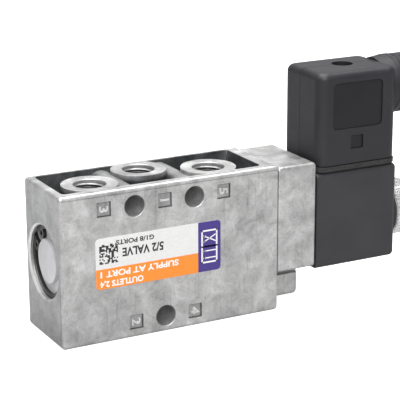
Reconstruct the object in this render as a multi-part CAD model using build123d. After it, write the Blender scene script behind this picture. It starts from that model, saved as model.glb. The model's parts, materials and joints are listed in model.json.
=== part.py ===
from build123d import *
import os

# A 5/2 solenoid directional valve, G1/8, single pilot with spring return. Millimetres.
# The frame's origin is on the base face, under port 1, on the body's middle plane.
# +X points from the spring end towards the solenoid, +Y away from the label, +Z towards
# ports 1, 3 and 5.

# ---- driving dimensions: body ----
BODY_LEFT, BODY_RIGHT = -33.2, 38.0
BODY_WIDTH = 26.0
BODY_HEIGHT = 45.8
AXIS_Z = 23.2                  # height of the spool's axis
PORT_PITCH = 9.7
PORT_R = 4.864                 # major radius of a G1/8 thread, 9.728 across
PORT_MOUTH_R = 5.05
PORT_BOSS_R = 8.35
PORT_DEPTH = 9.0
PASSAGE_R = 3.0
SIDE_PORT_Y, SUPPLY_PORT_Y = -3.2, 4.6
MOUNT_HOLE_R = 3.2             # clears an M6 screw
MOUNT_MOUTH_R = 3.35
MOUNT_TOP_Z, MOUNT_BOTTOM_Z = 40.25, 5.05
MOUNT_BOSS_R = 4.7
POCKET_FLOOR = 34.5
POCKET_X = (-30.8, 33.8)
POCKET_Y = (-10.0, 11.3)
SPOOL_BORE_R = 8.0
END_BORE_R = 11.0
END_BORE_END = -26.0
STACK_END = 25.25              # shoulder that the seal stack is pushed against
PISTON_BORE_R = 9.0
PISTON_BORE_START = 26.9
DRILLING_R = 0.9
DRILLING_Y, DRILLING_Z = 4.6, 32.8
MARK_SIZE, MARK_DEPTH = 4.4, 0.5
TOP_MARK_Z, BOTTOM_MARK_Z = 40.6, 4.85

# ---- driving dimensions: spool and its parts ----
SPOOL_R = 4.0
SPOOL_NECK_R = 2.75
SPOOL_LEFT, SPOOL_RIGHT = -26.0, 31.15
SPOOL_TRAVEL = 4.0
SEAL_WIDTH = 2.0
SEAL_GAP = 0.03                # running clearance of the rubber rings in the solids
PISTON_R = 8.7
PISTON_X = (31.2, 37.4)

# ---- driving dimensions: pilot cover ----
COVER_X = (38.2, 51.5)
COVER_Z = (12.0, 45.1)
LUG_X = (38.4, 47.8)
LUG_Y = 9.0
LUG_BOTTOM = 2.4
LUG_GROOVE = (2.5, 1.4)        # height and depth of the groove between the lug and the cover
COVER_SCREW_Y, COVER_SCREW_DZ = 9.3, 8.2
SOLENOID_Z = 22.6
PIN_X = 43.0
PIN_TRAVEL = 2.0

# ---- driving dimensions: solenoid ----
COIL_X = (52.6, 81.9)
COIL_Z = (10.2, 40.7)
COIL_HALF = 11.7
TUBE_R, TUBE_BORE_R = 4.5, 3.9
TUBE_END = 82.0
PLUNGER_X = (47.6, 68.8)
PLUNGER_R = 3.82
NUT_R = 8.95
WASHER_X = (81.9, 84.8)
NUT_X = (84.85, 92.0)
KNURL_COUNT = 40

# ---- driving dimensions: plug connector ----
PLUG_X = (53.1, 81.6)
PLUG_Y = (-11.7, 9.9)
PLUG_Z = (42.9, 71.6)
PLUG_WALL = 1.8
PLUG_ROUND, PLUG_TOP_ROUND = 3.4, 2.2
SHELL_SEAM = 0.16
CENTRE_SCREW_X = 68.3
BLADE_OFFSET = 5.5
GLAND_Z = 63.6
GLAND_R = 9.4
GLAND_SLEEVE_R = 7.6
CABLE_R = 2.9

BIG = 200.0

os.makedirs("parts", exist_ok=True)


# ---- shapes used again and again ----
def block(x_range, y_range, z_range):
    """A box between two limits on each axis."""
    size = [high - low for low, high in (x_range, y_range, z_range)]
    centre = [(high + low) / 2 for low, high in (x_range, y_range, z_range)]
    return Pos(*centre) * Box(*size)


def rod_x(radius, x0, x1, y=0.0, z=AXIS_Z):
    """A cylinder along X."""
    return Pos((x0 + x1) / 2, y, z) * Rot(0, 90, 0) * Cylinder(radius, abs(x1 - x0))


def rod_y(radius, y0, y1, x, z):
    """A cylinder along Y."""
    return Pos(x, (y0 + y1) / 2, z) * Rot(90, 0, 0) * Cylinder(radius, abs(y1 - y0))


def rod_z(radius, z0, z1, x, y=0.0):
    """A cylinder along Z."""
    return Pos(x, y, (z0 + z1) / 2) * Cylinder(radius, abs(z1 - z0))


def ring_x(outer, inner, x0, x1, y=0.0, z=AXIS_Z):
    """A tube along X."""
    return rod_x(outer, x0, x1, y, z) - rod_x(inner, x0 - 1, x1 + 1, y, z)


def ring_z(outer, inner, z0, z1, x, y=0.0):
    """A tube along Z."""
    return rod_z(outer, z0, z1, x, y) - rod_z(inner, z0 - 1, z1 + 1, x, y)


def cone_x(r0, r1, x0, x1, y=0.0, z=AXIS_Z):
    """A cone along X with radius r0 at x0 and r1 at x1, x0 being the lower of the two."""
    return Pos((x0 + x1) / 2, y, z) * Rot(0, 90, 0) * Cone(r0, r1, x1 - x0)


def torus_x(middle_r, section_r, x, y=0.0, z=AXIS_Z):
    """An O-ring around an axis along X."""
    return Pos(x, y, z) * Rot(0, 90, 0) * Torus(middle_r, section_r)


def spring_along_z(height, coil_r, wire_r, turns):
    """A closed helical spring that stands on z = 0."""
    helix = Helix(pitch=(height - 2 * wire_r) / turns, height=height - 2 * wire_r, radius=coil_r)
    start = Plane(origin=helix @ 0, z_dir=helix % 0)
    return Pos(0, 0, wire_r) * sweep(start * Circle(wire_r), path=helix)


def bore_mouth_z(x, y, z_face, outwards):
    """The conical chamfer at the mouth of a tapped port; outwards is +1 up or -1 down."""
    depth = PORT_MOUTH_R - PORT_R
    z_mid = z_face - outwards * depth / 2
    bottom, top = (PORT_R, PORT_MOUTH_R) if outwards > 0 else (PORT_MOUTH_R, PORT_R)
    return Pos(x, y, z_mid) * Cone(bottom, top, depth)


def save(name, *solids):
    """Write one node, made of one or more separate solids."""
    shapes = [solid for shape in solids for solid in shape.solids()]
    shape = shapes[0] if len(shapes) == 1 else Compound(children=shapes)
    export_step(shape, f"parts/{name}.step")


# ---- valve body ----
TOP_PORTS = ((-2 * PORT_PITCH, SIDE_PORT_Y), (0.0, SUPPLY_PORT_Y), (2 * PORT_PITCH, SIDE_PORT_Y))
BOTTOM_PORTS = (-PORT_PITCH, PORT_PITCH)
MOUNT_HOLES = ((-PORT_PITCH, MOUNT_TOP_Z), (PORT_PITCH, MOUNT_TOP_Z), (0.0, MOUNT_BOTTOM_Z))
COVER_SCREWS = [(side * COVER_SCREW_Y, AXIS_Z + level * COVER_SCREW_DZ)
                for side in (-1, 1) for level in (-1, 1)]
SCREW_R = 1.5
TOP_ROUND = 1.1                # round of the top edges of the body and the cover
JOINT_ROUND = 0.35             # round of the upright edges where the body and the cover meet
COVER_SCREW_X = (28.6, 48.4)   # shank, from its tip to under its head


def make_body():
    half = BODY_WIDTH / 2
    body = block((BODY_LEFT, BODY_RIGHT), (-half, half), (0, BODY_HEIGHT))
    upright_edges = body.edges().filter_by(Axis.Z).group_by(Axis.X)
    body = fillet(upright_edges[0], 1.0)
    body = fillet(body.edges().filter_by(Axis.Z).group_by(Axis.X)[-1], JOINT_ROUND)
    body = fillet(body.edges().group_by(Axis.Z)[0], 1.2)
    body = fillet(body.edges().group_by(Axis.Z)[-1], TOP_ROUND)

    pocket = block(POCKET_X, POCKET_Y, (POCKET_FLOOR, BODY_HEIGHT + 1))
    pocket = fillet(pocket.edges().filter_by(Axis.Z), 1.5)
    for x, y in TOP_PORTS:
        pocket -= rod_z(PORT_BOSS_R, POCKET_FLOOR - 1, BODY_HEIGHT + 2, x, y)
    for x, z in MOUNT_HOLES[:2]:
        pocket -= rod_y(MOUNT_BOSS_R, -BIG, BIG, x, z)
        pocket -= block((x - MOUNT_BOSS_R, x + MOUNT_BOSS_R), (-BIG, BIG), (POCKET_FLOOR - 1, z))
    body -= pocket

    body -= rod_x(SPOOL_BORE_R, END_BORE_END, STACK_END)
    body -= rod_x(END_BORE_R, BODY_LEFT - 1, END_BORE_END)
    body -= rod_x(CIRCLIP_GROOVE_R, CIRCLIP_X[0] - 0.05, CIRCLIP_X[1] + 0.05)
    body -= cone_x(END_BORE_R + 0.55, END_BORE_R, BODY_LEFT, BODY_LEFT + 0.55)
    body -= rod_x(SPOOL_R + 0.1, STACK_END - 1, PISTON_BORE_START + 1)
    body -= rod_x(PISTON_BORE_R, PISTON_BORE_START, BODY_RIGHT + 1)

    for x, y in TOP_PORTS:
        body -= rod_z(PORT_R, BODY_HEIGHT - PORT_DEPTH, BODY_HEIGHT + 1, x, y)
        body -= rod_z(PASSAGE_R, AXIS_Z, BODY_HEIGHT, x, y)
        body -= bore_mouth_z(x, y, BODY_HEIGHT, 1)
    for x in BOTTOM_PORTS:
        body -= rod_z(PORT_R, -1, PORT_DEPTH, x)
        body -= rod_z(PASSAGE_R, 0, AXIS_Z, x)
        body -= bore_mouth_z(x, 0, 0, -1)

    chamfer_depth = MOUNT_MOUTH_R - MOUNT_HOLE_R
    for x, z in MOUNT_HOLES:
        body -= rod_y(MOUNT_HOLE_R, -BIG, BIG, x, z)
        for side in (-1, 1):
            mouth = Rot(side * 90, 0, 0) * Cone(MOUNT_MOUTH_R, MOUNT_HOLE_R, chamfer_depth)
            body -= Pos(x, side * (half - chamfer_depth / 2), z) * mouth

    for x in (-2 * PORT_PITCH, 0.0, 2 * PORT_PITCH):
        body -= mark_recess(x, TOP_MARK_Z)
    for x in BOTTOM_PORTS:
        body -= mark_recess(x, BOTTOM_MARK_Z)

    body -= rod_x(DRILLING_R, 0, BODY_RIGHT + 1, DRILLING_Y, DRILLING_Z)
    for y, z in COVER_SCREWS:
        body -= rod_x(SCREW_R, COVER_SCREW_X[0], BODY_RIGHT + 1, y, z)
    save("valve_body", body)


def mark_recess(x, z):
    """The shallow square in the front face that holds a port's mark."""
    half = MARK_SIZE / 2
    front = -BODY_WIDTH / 2
    return block((x - half, x + half), (front - 1, front + MARK_DEPTH), (z - half, z + half))


# ---- end plug, its seal and the circlip ----
CIRCLIP_X = (-31.8, -30.8)
CIRCLIP_GROOVE_R = 11.5
PLUG_DISC_R, PLUG_DISC_HEIGHT = 6.5, 1.2   # raised middle of the end plug
PLUG_RECESS_R = 4.7
RECESS_FLOOR_X = SPOOL_LEFT - SPOOL_TRAVEL - 0.6   # the return spring stands here


def make_end_plug():
    gap = 0.05                 # running gap between the plug and the body
    plug = rod_x(END_BORE_R - gap, CIRCLIP_X[1], END_BORE_END - gap)
    plug += rod_x(PLUG_DISC_R, CIRCLIP_X[1] - PLUG_DISC_HEIGHT, CIRCLIP_X[1])
    plug += rod_x(SPOOL_BORE_R - gap, END_BORE_END - gap, -STACK_END - gap)
    plug -= rod_x(PLUG_RECESS_R, RECESS_FLOOR_X, 0)
    groove_mid = -28.3
    plug -= ring_x(END_BORE_R + 1, END_BORE_R - 1.6, groove_mid - 1.1, groove_mid + 1.1)
    save("end_plug", plug)
    save("end_plug_o_ring", torus_x(END_BORE_R - 0.8, 0.78, groove_mid))


def make_circlip():
    clip = ring_x(CIRCLIP_GROOVE_R - 0.05, 9.6, *CIRCLIP_X)
    lug_r, lug_ring = 1.7, 8.6
    gap = block((CIRCLIP_X[0] - 1, CIRCLIP_X[1] + 1), (-1.6, 1.6), (AXIS_Z, AXIS_Z + 14))
    clip -= gap
    for side in (-1, 1):
        y = side * 3.1
        z = AXIS_Z + (lug_ring ** 2 - y ** 2) ** 0.5
        clip += rod_x(lug_r, *CIRCLIP_X, y, z)
        clip -= rod_x(0.75, CIRCLIP_X[0] - 1, CIRCLIP_X[1] + 1, y, z)
    turned = Pos(0, 0, AXIS_Z) * Rot(-50, 0, 0) * Pos(0, 0, -AXIS_Z) * clip
    save("circlip", turned)


# ---- seal stack, spool and piston ----
def make_seal_stack():
    half_cage = (PORT_PITCH - SEAL_WIDTH) / 2
    outer, inner = SPOOL_BORE_R - 0.05, SPOOL_R + 0.6
    cages = []
    for index in range(-2, 3):
        x = index * PORT_PITCH
        cage = ring_x(outer, inner, x - half_cage + 0.02, x + half_cage - 0.02)
        cage -= ring_x(outer + 1, outer - 1.3, x - 2.2, x + 2.2)
        for angle in (0, 45, 90, 135):
            window = Rot(angle, 0, 0) * Cylinder(1.5, BIG)
            cage -= Pos(x, 0, AXIS_Z) * window
        cages.append(cage)
    save("seal_cages", *cages)

    seals = []
    for index in range(6):
        x = (index - 2.5) * PORT_PITCH
        seal = ring_x(SPOOL_BORE_R - 0.01, SPOOL_R + SEAL_GAP, x - SEAL_WIDTH / 2, x + SEAL_WIDTH / 2)
        seals.append(fillet(seal.edges(), 0.45))
    save("spool_seals", *seals)


def make_spool():
    spool = rod_x(SPOOL_R, SPOOL_LEFT, SPOOL_RIGHT)
    necks = ((-13.45, -1.95), (5.95, 17.45))   # each opens one seal at rest
    for x0, x1 in necks:
        spool -= ring_x(SPOOL_R + 1, SPOOL_NECK_R, x0, x1)
    spool = chamfer(spool.edges().filter_by(GeomType.CIRCLE).filter_by(
        lambda edge: edge.radius > SPOOL_R - 0.01), 0.3)
    spool -= rod_x(2.6, SPOOL_LEFT - 1, -16.0)
    save("spool", spool)

    spring = spring_along_z(14.6, 2.1, 0.3, 7)
    save("return_spring", Pos(RECESS_FLOOR_X, 0, AXIS_Z) * Rot(0, 90, 0) * spring)

    groove_r, groove_x = 6.6, (32.6, 34.8)
    piston = rod_x(PISTON_R, *PISTON_X)
    piston -= ring_x(PISTON_R + 1, groove_r, *groove_x)
    piston -= rod_x(4.5, groove_x[1] + 0.4, PISTON_X[1] + 1)
    save("pilot_piston", piston)
    lip = ring_x(PISTON_BORE_R - SEAL_GAP, groove_r, groove_x[0] + 0.05, groove_x[1] - 0.05)
    lip -= ring_x(8.2, 7.4, groove_x[1] - 0.9, groove_x[1] + 1)
    save("piston_lip_seal", lip)


# ---- pilot cover, gasket and screws ----
NOZZLE_X = (42.0, 47.0)
NOZZLE_R, NOZZLE_TIP_R, NOZZLE_BORE_R = 2.5, 1.3, 0.6
CHAMBER_X = 45.5               # floor of the armature chamber
CHAMBER_R = 7.0
SIGNAL_R, SIGNAL_DROP = 0.8, 4.5   # passage from the armature chamber to the piston
LUG_ROUND = 1.5
LUG_CORNER = 2.9               # hollow round between the lug's back and the cover's underside


def make_cover():
    half = BODY_WIDTH / 2
    inset = 0.5                # the gasket ends this far inside the joint
    gasket = block((BODY_RIGHT, COVER_X[0]), (inset - half, half - inset),
                   (COVER_Z[0] + inset, COVER_Z[1] - inset))
    gasket -= rod_x(PISTON_BORE_R + 0.2, BODY_RIGHT - 1, COVER_X[0] + 1)
    gasket -= rod_x(DRILLING_R + 0.3, BODY_RIGHT - 1, COVER_X[0] + 1, DRILLING_Y, DRILLING_Z)
    for y, z in COVER_SCREWS:
        gasket -= rod_x(SCREW_R + 0.2, BODY_RIGHT - 1, COVER_X[0] + 1, y, z)
    save("cover_gasket", gasket)

    cover = block(COVER_X, (-half, half), COVER_Z)
    cover = fillet(cover.edges().filter_by(Axis.Z).group_by(Axis.X)[-1], 0.9)
    cover = fillet(cover.edges().filter_by(Axis.Z).group_by(Axis.X)[0], JOINT_ROUND)
    cover = fillet(cover.edges().group_by(Axis.Z)[0], 0.9)
    cover = fillet(cover.edges().group_by(Axis.Z)[-1], TOP_ROUND)
    lug = block(LUG_X, (-LUG_Y, LUG_Y), (LUG_BOTTOM, COVER_Z[0] + 1.5))
    lug = fillet(lug.edges().filter_by(Axis.Z), LUG_ROUND)
    lug = fillet(lug.edges().group_by(Axis.Z)[0], LUG_ROUND)
    groove_height, groove_depth = LUG_GROOVE
    groove = block(LUG_X, (-LUG_Y - 1, groove_depth - LUG_Y), (COVER_Z[0] - groove_height, COVER_Z[0]))
    corner = block((LUG_X[1] - 1, LUG_X[1] + LUG_CORNER), (LUG_ROUND - LUG_Y, LUG_Y - LUG_ROUND),
                   (COVER_Z[0] - LUG_CORNER, COVER_Z[0] + 1.5))
    corner -= rod_y(LUG_CORNER, -BIG, BIG, LUG_X[1] + LUG_CORNER, COVER_Z[0] - LUG_CORNER)
    cover += lug - groove
    cover += corner

    cover -= rod_x(CHAMBER_R, CHAMBER_X, COVER_X[1] + 1, 0, SOLENOID_Z)
    cover -= rod_x(NOZZLE_R, NOZZLE_X[0] - 1.9, CHAMBER_X + 1, 0, SOLENOID_Z)
    cover -= rod_x(SIGNAL_R, COVER_X[0] - 1, CHAMBER_X + 1, 0, SOLENOID_Z - SIGNAL_DROP)
    supply_x = 41.0
    cover -= rod_x(DRILLING_R, COVER_X[0] - 1, supply_x, DRILLING_Y, DRILLING_Z)
    cover -= rod_z(DRILLING_R, SOLENOID_Z, DRILLING_Z, supply_x, DRILLING_Y)
    cover -= rod_y(DRILLING_R, 0, DRILLING_Y, supply_x, SOLENOID_Z)

    cover -= rod_z(BUSH_R, LUG_BOTTOM - 1, BUSH_TOP, PIN_X)
    cover -= rod_z(PIN_COLLAR_R + 0.1, BUSH_TOP - 0.5, COLLAR_BORE_TOP, PIN_X)
    cover -= rod_z(PIN_BORE_R, COLLAR_BORE_TOP - 0.5, PIN_BORE_TOP, PIN_X)
    for y, z in COVER_SCREWS:
        cover -= rod_x(SCREW_R + 0.2, COVER_X[0] - 1, COVER_X[1] + 1, y, z)
        cover -= rod_x(3.0, COVER_SCREW_X[1] - 0.1, COVER_X[1] + 1, y, z)
    save("pilot_cover", cover)

    screws = []
    for y, z in COVER_SCREWS:
        screw = rod_x(SCREW_R, *COVER_SCREW_X, y, z)
        head = rod_x(2.75, COVER_SCREW_X[1], COVER_SCREW_X[1] + 2.8, y, z)
        hexagon = Rot(0, 90, 0) * extrude(RegularPolygon(1.25, 6, major_radius=False), 3)
        screws.append(screw + head - Pos(COVER_SCREW_X[1] + 1.2, y, z) * hexagon)
    save("cover_screws", *screws)

    tip_x = NOZZLE_X[1] - 0.8  # the seat's cone starts here
    nozzle = rod_x(NOZZLE_R, NOZZLE_X[0], tip_x, 0, SOLENOID_Z)
    nozzle += cone_x(NOZZLE_R, NOZZLE_TIP_R, tip_x, NOZZLE_X[1], 0, SOLENOID_Z)
    nozzle -= rod_x(NOZZLE_BORE_R, NOZZLE_X[0] - 1, NOZZLE_X[1] + 1, 0, SOLENOID_Z)
    save("pilot_nozzle", nozzle)


# ---- manual override in the cover's lug ----
BUSH_R, BUSH_TOP = 3.2, 6.0
PIN_TIP_R, PIN_COLLAR_R, PIN_STEM_R, PIN_BORE_R = 1.7, 2.6, 1.93, 2.0
COLLAR_TOP = 7.4
COLLAR_BORE_TOP = COLLAR_TOP + PIN_TRAVEL + 0.2
PIN_TOP, PIN_BORE_TOP = 13.0, 16.4


def make_override():
    save("override_bush", ring_z(BUSH_R, PIN_TIP_R + 0.06, LUG_BOTTOM, BUSH_TOP, PIN_X))

    pin = rod_z(PIN_TIP_R, LUG_BOTTOM + 0.2, BUSH_TOP + 0.5, PIN_X)
    pin += rod_z(PIN_COLLAR_R, BUSH_TOP + 0.05, COLLAR_TOP, PIN_X)
    pin += rod_z(PIN_STEM_R, COLLAR_TOP, PIN_TOP, PIN_X)
    groove_z = 11.4
    pin -= ring_z(PIN_STEM_R + 1, 1.2, groove_z - 0.5, groove_z + 0.5, PIN_X)
    slot_half = 0.3
    pin -= block((PIN_X - slot_half, PIN_X + slot_half), (-3, 3), (LUG_BOTTOM - 1, LUG_BOTTOM + 0.8))
    save("override_pin", pin)
    save("override_o_ring", Pos(PIN_X, 0, groove_z) * Torus(1.58, 0.37))
    spring = spring_along_z(PIN_BORE_TOP - PIN_TOP, 1.45, 0.18, 4)
    save("override_spring", Pos(PIN_X, 0, PIN_TOP) * spring)


# ---- armature tube, plunger and fixed core ----
PLUNGER_STROKE = 1.2
CORE_X = PLUNGER_X[1] + PLUNGER_STROKE + 0.05
STUD_R = 4.0
SPRING_POCKET_R = 2.4
SPRING_X = (60.8, 72.0)


def make_armature():
    tube = rod_x(CHAMBER_R - 0.02, 46.5, COVER_X[1], 0, SOLENOID_Z)
    tube += rod_x(TUBE_R, COVER_X[1], TUBE_END, 0, SOLENOID_Z)
    tube -= rod_x(TUBE_BORE_R, 46, TUBE_END + 1, 0, SOLENOID_Z)
    save("armature_tube", tube)
    save("tube_o_ring", torus_x(6.1, 0.48, 46.0, 0, SOLENOID_Z))

    core = rod_x(TUBE_BORE_R - 0.02, CORE_X, TUBE_END, 0, SOLENOID_Z)
    core += rod_x(STUD_R, TUBE_END, NUT_X[1] + 0.8, 0, SOLENOID_Z)
    core = chamfer(core.edges().group_by(Axis.X)[-1], 0.6)
    core -= rod_x(SPRING_POCKET_R, CORE_X - 1, SPRING_X[1], 0, SOLENOID_Z)
    save("fixed_core", core)

    plunger = rod_x(PLUNGER_R, *PLUNGER_X, 0, SOLENOID_Z)
    plunger -= rod_x(SPRING_POCKET_R, SPRING_X[0], PLUNGER_X[1] + 1, 0, SOLENOID_Z)
    plunger -= rod_x(2.2, PLUNGER_X[0] - 1, 49.1, 0, SOLENOID_Z)
    for side in (-1, 1):
        air_slot = (side * PLUNGER_R - 0.6, side * PLUNGER_R + 0.6)
        plunger -= block((PLUNGER_X[0] - 1, PLUNGER_X[1] + 1), air_slot,
                         (SOLENOID_Z - 0.6, SOLENOID_Z + 0.6))
    save("plunger", plunger)
    save("plunger_seat_disc", rod_x(2.19, NOZZLE_X[1] + 0.05, 49.1, 0, SOLENOID_Z))
    spring = spring_along_z(SPRING_X[1] - SPRING_X[0], 1.9, 0.25, 6)
    save("plunger_spring", Pos(SPRING_X[0], 0, SOLENOID_Z) * Rot(0, 90, 0) * spring)


# ---- coil ----
YOKE_X = (54.0, 79.2)
YOKE_HALF_Y = 8.0
YOKE_HALF_Z = 10.9
YOKE_PLATE, YOKE_STRAP = 2.0, 1.2
FLANGE_R = 9.6
COIL_BORE_R = 4.65
BLADES_X = (CENTRE_SCREW_X - BLADE_OFFSET, CENTRE_SCREW_X + BLADE_OFFSET)
BLADE_Z = (35.5, 51.0)
EARTH_Y = 5.45
INSERT_R = 2.6


def make_coil():
    save("coil_face_seal",
         block((COVER_X[1], COIL_X[0]), (-11, 11), (SOLENOID_Z - 11, SOLENOID_Z + 11))
         - rod_x(COIL_BORE_R, COVER_X[1] - 1, COIL_X[0] + 1, 0, SOLENOID_Z))

    straps = (SOLENOID_Z - YOKE_HALF_Z, SOLENOID_Z + YOKE_HALF_Z)
    frame = block(YOKE_X, (-YOKE_HALF_Y, YOKE_HALF_Y), straps)
    inside_x = (YOKE_X[0] + YOKE_PLATE, YOKE_X[1] - YOKE_PLATE)
    inside_z = (straps[0] + YOKE_STRAP, straps[1] - YOKE_STRAP)
    yoke = frame - block(inside_x, (-BIG, BIG), inside_z)
    yoke -= rod_x(COIL_BORE_R, YOKE_X[0] - 1, YOKE_X[1] + 1, 0, SOLENOID_Z)
    save("coil_yoke", yoke)

    flange = 1.2
    bobbin = ring_x(FLANGE_R, COIL_BORE_R, *inside_x, 0, SOLENOID_Z)
    winding_x = (inside_x[0] + flange, inside_x[1] - flange)
    bobbin -= ring_x(FLANGE_R + 1, 5.6, *winding_x, 0, SOLENOID_Z)
    save("coil_bobbin", bobbin)
    save("coil_winding", ring_x(FLANGE_R - 0.3, 5.6, *winding_x, 0, SOLENOID_Z))

    housing = block(COIL_X, (-COIL_HALF, COIL_HALF), COIL_Z)
    housing = fillet(housing.edges().filter_by(Axis.X), 1.6)
    housing = fillet(housing.edges().group_by(Axis.X)[-1], 1.4)
    housing = fillet(housing.edges().group_by(Axis.X)[0], 0.5)
    housing -= frame
    housing -= rod_x(FLANGE_R + 0.02, *inside_x, 0, SOLENOID_Z)
    housing -= rod_x(COIL_BORE_R, COIL_X[0] - 1, COIL_X[1] + 1, 0, SOLENOID_Z)
    housing -= rod_z(INSERT_R, 34.0, COIL_Z[1] + 1, CENTRE_SCREW_X)
    blades = [contact_blade(x) for x in BLADES_X]
    earth = earth_blade()
    for blade in (*blades, earth):
        housing -= blade
    save("coil_housing", housing)
    save("contact_blades", *blades)
    save("earth_blade", earth)
    save("screw_insert", ring_z(INSERT_R, SCREW_R, 34.0, COIL_Z[1], CENTRE_SCREW_X))


def contact_blade(x):
    return block((x - 0.4, x + 0.4), (-3.15, 3.15), BLADE_Z)


def earth_blade():
    half = 3.15
    return block((CENTRE_SCREW_X - half, CENTRE_SCREW_X + half), (EARTH_Y - 0.4, EARTH_Y + 0.4), BLADE_Z)


def make_coil_nut():
    washer = ring_x(NUT_R, STUD_R + 0.6, *WASHER_X, 0, SOLENOID_Z)
    washer = fillet(washer.edges().group_by(Axis.X)[-1].filter_by(
        lambda edge: edge.radius > NUT_R - 0.1), 0.5)
    save("coil_washer", washer)

    nut = rod_x(NUT_R, *NUT_X, 0, SOLENOID_Z)
    nut = chamfer(nut.edges().filter_by(GeomType.CIRCLE), 0.6)
    groove = rod_x(0.42, NUT_X[0] - 1, NUT_X[1] + 1, 0, NUT_R + 0.12)
    grooves = [Rot(360 / KNURL_COUNT * index, 0, 0) * groove for index in range(KNURL_COUNT)]
    nut -= [Pos(0, 0, SOLENOID_Z) * tool for tool in grooves]
    nut -= rod_x(STUD_R, NUT_X[0] - 1, NUT_X[1] + 1, 0, SOLENOID_Z)
    save("coil_nut", nut)


# ---- plug connector ----
WINDOW_X, WINDOW_Z, WINDOW_DEPTH = (57.9, 75.8), (53.9, 68.3), 0.5
DIMPLE_X, DIMPLE_Z, DIMPLE_DEPTH = (64.5, 69.0), (47.4, 51.6), 0.6
PLUG_INNER_X = (PLUG_X[0] + PLUG_WALL, PLUG_X[1] - PLUG_WALL)
PLUG_INNER_Y = (PLUG_Y[0] + PLUG_WALL, PLUG_Y[1] - PLUG_WALL)
NECK_X = (PLUG_X[1], 84.0)
SCREW_HOLE_R = 3.35
BLOCK_TOP = 59.0
SOCKET_Y, SOCKET_Z = (-8.4, 3.6), (45.0, 54.0)
EARTH_SOCKET_HALF = (3.9, 1.45)
CLAMP_Y = -6.0


def make_shells():
    shell = block(PLUG_X, PLUG_Y, PLUG_Z)
    shell = fillet(shell.edges().filter_by(Axis.Z), PLUG_ROUND)
    shell = fillet(shell.edges().group_by(Axis.Z)[-1], PLUG_TOP_ROUND)
    shell += cone_x(GLAND_R - 0.6, GLAND_R, NECK_X[0] - 2, NECK_X[1], 0, GLAND_Z)
    hollow = block(PLUG_INNER_X, PLUG_INNER_Y, (PLUG_Z[0] - 1, PLUG_Z[1] - PLUG_WALL))
    shell -= fillet(hollow.edges().filter_by(Axis.Z), PLUG_ROUND - PLUG_WALL)
    shell -= rod_x(GLAND_SLEEVE_R, PLUG_INNER_X[1] - 1, NECK_X[1] + 1, 0, GLAND_Z)
    shell -= rod_z(SCREW_HOLE_R, PLUG_Z[1] - PLUG_WALL - 1, PLUG_Z[1] + 1, CENTRE_SCREW_X)

    front = shell & block((0, BIG), (-BIG, -SHELL_SEAM / 2), (0, BIG))
    window = block(WINDOW_X, (PLUG_Y[0] - 1, PLUG_Y[0] + WINDOW_DEPTH), WINDOW_Z)
    front -= fillet(window.edges().filter_by(Axis.Y), 1.5)
    front -= block(DIMPLE_X, (PLUG_Y[0] - 1, PLUG_Y[0] + DIMPLE_DEPTH), DIMPLE_Z)
    save("connector_front_shell", front)
    save("connector_rear_shell", shell & block((0, BIG), (SHELL_SEAM / 2, BIG), (0, BIG)))

    gasket = block((PLUG_X[0] - 0.4, PLUG_X[1] + 0.2), (PLUG_Y[0], PLUG_Y[1] - 0.1),
                   (COIL_Z[1] + 0.4, PLUG_Z[0] - 0.35))
    gasket = fillet(gasket.edges().filter_by(Axis.Z), PLUG_ROUND - 0.4)
    core = block((PLUG_X[0] + 0.4, PLUG_X[1] - 0.4), (PLUG_Y[0] + 0.6, PLUG_Y[1] - 0.6),
                 (COIL_Z[1], PLUG_Z[0]))
    gasket += fillet(core.edges().filter_by(Axis.Z), PLUG_ROUND - 0.8)
    blades_half_x = 7.3
    gasket -= block((CENTRE_SCREW_X - blades_half_x, CENTRE_SCREW_X + blades_half_x), (-4.5, 7.2),
                    (COIL_Z[1] - 1, PLUG_Z[0] + 1))
    save("connector_gasket", gasket)


def socket(x):
    """A contact socket: a brass block with a slot for the blade and a hole for its clamp screw."""
    shape = block((x - 1.9, x + 1.9), SOCKET_Y, SOCKET_Z)
    shape -= block((x - 0.5, x + 0.5), (-3.3, 3.3), (SOCKET_Z[0] - 1, BLADE_Z[1] + 0.6))
    shape -= rod_z(1.25, SOCKET_Z[1] - 5, SOCKET_Z[1] + 1, x, CLAMP_Y)
    return shape


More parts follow.
